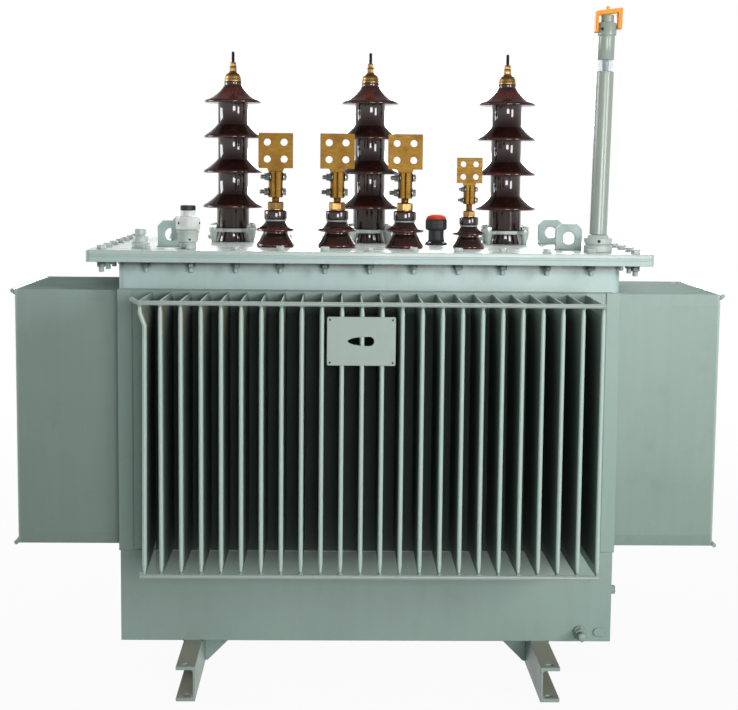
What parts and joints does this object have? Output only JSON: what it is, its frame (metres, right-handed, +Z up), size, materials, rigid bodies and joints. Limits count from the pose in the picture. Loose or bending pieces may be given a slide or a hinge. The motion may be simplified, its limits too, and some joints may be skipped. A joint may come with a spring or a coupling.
{
  "type": "oil-immersed power transformer",
  "caption": "Corrugated-tank power transformer with tall and short porcelain bushings on a bolted cover, cooling fins on every side and channel skids.",
  "frame": {"origin": "on the floor, at the middle of the four base bolt holes under the tank", "axes": "+Z up, +X along the tank's long side to the gauge end, -Y to the nameplate side"},
  "size_m": [1.6786, 1.0806, 1.5652],
  "materials": {
    "tank_paint": "pale grey-green semi-gloss enamel",
    "gasket_rubber": "matt",
    "porcelain": "dark brown gloss glaze",
    "brass": "dull cast and milled",
    "zinc_steel": "zinc plated",
    "valve_paint": "off-white satin",
    "black_plastic": "moulded, satin",
    "red_plastic": "moulded, gloss",
    "gauge_plastic": "grey-beige satin tube",
    "gauge_glass": "clear",
    "orange_plastic": "moulded, gloss",
    "nameplate_metal": "painted plate"
  },
  "bodies": {
    "root": {"base_channel_left": "tank_paint", "base_channel_right": "tank_paint", "base_gussets": "tank_paint", "corner_posts": "tank_paint", "cover": "tank_paint", "cover_gasket": "gasket_rubber", "drain_valve": "tank_paint", "earth_pad": "tank_paint", "filler_plug": "tank_paint", "fin_tie_bars": "tank_paint", "front_fin_wall": "tank_paint", "gauge_flange": "tank_paint", "gauge_glass": "gauge_glass", "gauge_head": "gauge_plastic", "gauge_lock": "orange_plastic", "gauge_tube": "gauge_plastic", "hv_clamps": "zinc_steel", "hv_porcelain_1": "porcelain", "hv_porcelain_2": "porcelain", "hv_porcelain_3": "porcelain", "hv_terminal_1": "brass", "hv_terminal_2": "brass", "hv_terminal_3": "brass", "left_fin_wall": "tank_paint", "lifting_lugs": "tank_paint", "lower_tank": "tank_paint", "lv_porcelain_1": "porcelain", "lv_porcelain_2": "porcelain", "lv_porcelain_3": "porcelain", "lv_porcelain_4": "porcelain", "lv_stud_1": "brass", "lv_stud_2": "brass", "lv_stud_3": "brass", "lv_stud_4": "brass", "lv_terminal_1": "brass", "lv_terminal_2": "brass", "lv_terminal_3": "brass", "lv_terminal_4": "brass", "nameplate": "nameplate_metal", "rear_fin_wall": "tank_paint", "relief_valve_base": "valve_paint", "relief_valve_cap": "black_plastic", "relief_valve_drum": "valve_paint", "right_fin_wall": "tank_paint", "side_plug": "tank_paint", "tap_changer_base": "black_plastic", "tap_changer_cap": "red_plastic", "tap_changer_knob": "black_plastic", "top_rim": "tank_paint"}
  },
  "joints": []
}
